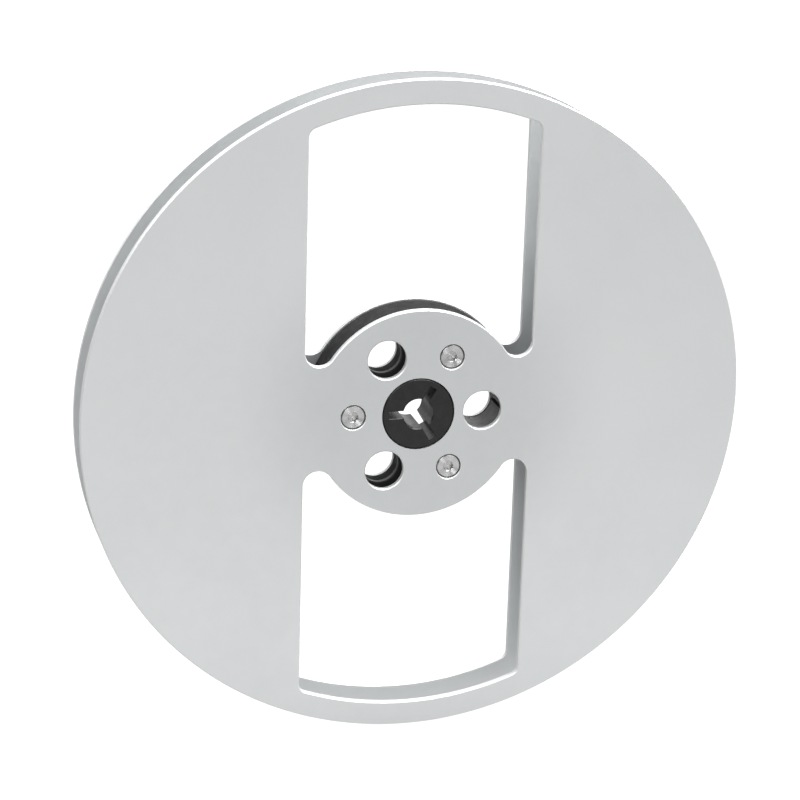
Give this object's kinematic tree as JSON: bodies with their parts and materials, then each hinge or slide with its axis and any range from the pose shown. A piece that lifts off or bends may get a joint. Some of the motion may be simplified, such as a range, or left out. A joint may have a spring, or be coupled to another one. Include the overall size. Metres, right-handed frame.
{
  "type": "open-reel audio tape reel",
  "caption": "Open-reel audio tape spool: thin windowed metal flanges screwed to a moulded hub, with finger holes, a threading slit and a slotted spindle bore.",
  "frame": {"origin": "centre of the reel, on the spindle axis and midway between the flanges", "axes": "Y is the spindle axis, front face towards -Y; +Z is towards the upper window; +X is towards the finger hole that the threading slit opens into"},
  "size_m": [0.1778, 0.012, 0.1778],
  "materials": {
    "satin_aluminium": "fine satin blasted and clear anodised, with bright-cut edges",
    "hub_plastic": "moulded, satin",
    "insert_plastic": "moulded, fine matt",
    "screw_steel": "turned, nickel plated",
    "brass": "turned"
  },
  "bodies": {
    "root": {"front_flange": "satin_aluminium", "rear_flange": "satin_aluminium", "hub_core": "hub_plastic", "spindle_insert": "insert_plastic", "front_screw_upper": "screw_steel", "front_screw_left": "screw_steel", "front_screw_lower": "screw_steel", "rear_screw_upper": "screw_steel", "rear_screw_left": "screw_steel", "rear_screw_lower": "screw_steel", "threaded_sleeve_upper": "brass", "threaded_sleeve_left": "brass", "threaded_sleeve_lower": "brass"}
  },
  "joints": []
}
